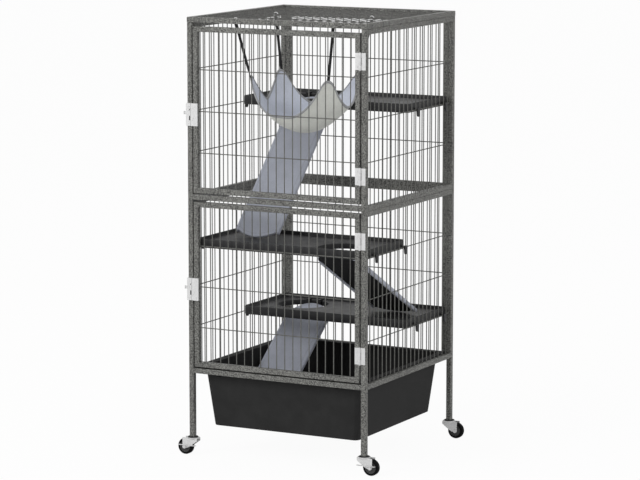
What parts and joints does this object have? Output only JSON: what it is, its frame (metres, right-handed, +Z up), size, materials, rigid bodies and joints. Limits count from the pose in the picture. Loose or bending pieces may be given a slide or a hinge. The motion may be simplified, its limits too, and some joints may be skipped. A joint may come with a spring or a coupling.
{
  "type": "small animal cage",
  "caption": "Tall two-storey wire cage on swivel casters, with hinged doors, clip-on shelves, hooked ramps, a hanging cloth hammock and a deep base pan.",
  "frame": {"origin": "on the floor, in the middle of the width and depth", "axes": "+Z up, -Y to the front with the doors, +X to the viewer's right when facing the doors"},
  "size_m": [0.682, 0.622, 1.332],
  "materials": {
    "frame_paint": "hammered grey powder coat",
    "wire_paint": "grey powder coat",
    "plated_steel": "bright zinc plate",
    "shelf_plastic": "fine grained",
    "pan_plastic": "fine grained",
    "board_plastic": "matt",
    "ramp_cloth": "short fleece",
    "hammock_cloth": "fleece",
    "strap_webbing": "woven",
    "wheel_rubber": "matt"
  },
  "bodies": {
    "frame": {"left_lower_frame": "frame_paint", "left_upper_frame": "frame_paint", "right_lower_frame": "frame_paint", "right_upper_frame": "frame_paint", "back_lower_frame": "frame_paint", "back_upper_frame": "frame_paint", "roof_frame": "frame_paint", "front_rails": "frame_paint", "left_lower_wires": "wire_paint", "left_upper_wires": "wire_paint", "right_lower_wires": "wire_paint", "right_upper_wires": "wire_paint", "back_lower_wires": "wire_paint", "back_upper_wires": "wire_paint", "roof_wires": "wire_paint", "post_joiners": "pan_plastic", "hinge_post_leaves": "plated_steel", "hinge_pins": "plated_steel", "latch_housings": "plated_steel", "caster_stems": "plated_steel", "upper_shelf": "shelf_plastic", "middle_shelf": "shelf_plastic", "lower_shelf": "shelf_plastic", "hammock": "hammock_cloth", "hammock_straps": "strap_webbing", "hammock_hooks": "plated_steel", "base_pan": "pan_plastic", "rail_pads": "wheel_rubber"},
    "upper_door": {"upper_door_frame": "frame_paint", "upper_door_wires": "wire_paint", "upper_hinge_leaves": "plated_steel", "upper_latch_catch": "plated_steel"},
    "upper_bolt": {"upper_latch_bolt": "plated_steel"},
    "lower_door": {"lower_door_frame": "frame_paint", "lower_door_wires": "wire_paint", "lower_hinge_leaves": "plated_steel", "lower_latch_catch": "plated_steel"},
    "lower_bolt": {"lower_latch_bolt": "plated_steel"},
    "front_left_swivel": {"front_left_fork": "plated_steel", "front_left_axle": "plated_steel"},
    "front_left_roller": {"front_left_wheel": "wheel_rubber"},
    "front_right_swivel": {"front_right_fork": "plated_steel", "front_right_axle": "plated_steel"},
    "front_right_roller": {"front_right_wheel": "wheel_rubber"},
    "back_left_swivel": {"back_left_fork": "plated_steel", "back_left_axle": "plated_steel"},
    "back_left_roller": {"back_left_wheel": "wheel_rubber"},
    "back_right_swivel": {"back_right_fork": "plated_steel", "back_right_axle": "plated_steel"},
    "back_right_roller": {"back_right_wheel": "wheel_rubber"},
    "front_left_lever": {"front_left_brake": "plated_steel"},
    "front_right_lever": {"front_right_brake": "plated_steel"},
    "upper_ramp": {"upper_ramp_board": "board_plastic", "upper_ramp_cover": "ramp_cloth"},
    "middle_ramp": {"middle_ramp_board": "board_plastic", "middle_ramp_cover": "ramp_cloth"},
    "lower_ramp": {"lower_ramp_board": "board_plastic", "lower_ramp_cover": "ramp_cloth"}
  },
  "joints": [
    {"name": "upper_door_hinge", "type": "hinge", "parent": "frame", "child": "upper_door", "pos_m": [0.2815, -0.3034, 1.0545], "axis": [0, 0, 1], "range_deg": [0, 180]},
    {"name": "upper_latch_slide", "type": "slide", "parent": "frame", "child": "upper_bolt", "axis": [1, 0, 0], "range_m": [0, 0.006]},
    {"name": "lower_door_hinge", "type": "hinge", "parent": "frame", "child": "lower_door", "pos_m": [0.2815, -0.3034, 0.526], "axis": [0, 0, 1], "range_deg": [0, 180]},
    {"name": "lower_latch_slide", "type": "slide", "parent": "frame", "child": "lower_bolt", "axis": [1, 0, 0], "range_m": [0, 0.006]},
    {"name": "front_left_swivel_turn", "type": "hinge", "parent": "frame", "child": "front_left_swivel", "pos_m": [-0.292, -0.292, 0.052], "axis": [0, 0, 1], "continuous": true},
    {"name": "front_left_wheel_spin", "type": "hinge", "parent": "front_left_swivel", "child": "front_left_roller", "pos_m": [-0.316, -0.292, 0.025], "axis": [0, 1, 0], "continuous": true},
    {"name": "front_left_brake_rock", "type": "hinge", "parent": "front_left_swivel", "child": "front_left_lever", "pos_m": [-0.316, -0.292, 0.025], "axis": [0, -1, 0], "range_deg": [0, 14]},
    {"name": "front_right_swivel_turn", "type": "hinge", "parent": "frame", "child": "front_right_swivel", "pos_m": [0.292, -0.292, 0.052], "axis": [0, 0, 1], "continuous": true},
    {"name": "front_right_wheel_spin", "type": "hinge", "parent": "front_right_swivel", "child": "front_right_roller", "pos_m": [0.316, -0.292, 0.025], "axis": [0, 1, 0], "continuous": true},
    {"name": "front_right_brake_rock", "type": "hinge", "parent": "front_right_swivel", "child": "front_right_lever", "pos_m": [0.316, -0.292, 0.025], "axis": [0, 1, 0], "range_deg": [0, 14]},
    {"name": "back_left_swivel_turn", "type": "hinge", "parent": "frame", "child": "back_left_swivel", "pos_m": [-0.292, 0.292, 0.052], "axis": [0, 0, 1], "continuous": true},
    {"name": "back_left_wheel_spin", "type": "hinge", "parent": "back_left_swivel", "child": "back_left_roller", "pos_m": [-0.316, 0.292, 0.025], "axis": [0, 1, 0], "continuous": true},
    {"name": "back_right_swivel_turn", "type": "hinge", "parent": "frame", "child": "back_right_swivel", "pos_m": [0.292, 0.292, 0.052], "axis": [0, 0, 1], "continuous": true},
    {"name": "back_right_wheel_spin", "type": "hinge", "parent": "back_right_swivel", "child": "back_right_roller", "pos_m": [0.316, 0.292, 0.025], "axis": [0, 1, 0], "continuous": true},
    {"name": "upper_ramp_lift", "type": "hinge", "parent": "frame", "child": "upper_ramp", "pos_m": [-0.162, 0.2618, 1.0623], "axis": [-1, 0, 0], "range_deg": [0, 25]},
    {"name": "middle_ramp_lift", "type": "hinge", "parent": "frame", "child": "middle_ramp", "pos_m": [0.162, -0.2608, 0.6558], "axis": [1, 0, 0], "range_deg": [0, 18]},
    {"name": "lower_ramp_lift", "type": "hinge", "parent": "frame", "child": "lower_ramp", "pos_m": [-0.162, 0.2618, 0.4068], "axis": [-1, 0, 0], "range_deg": [0, 25]}
  ]
}
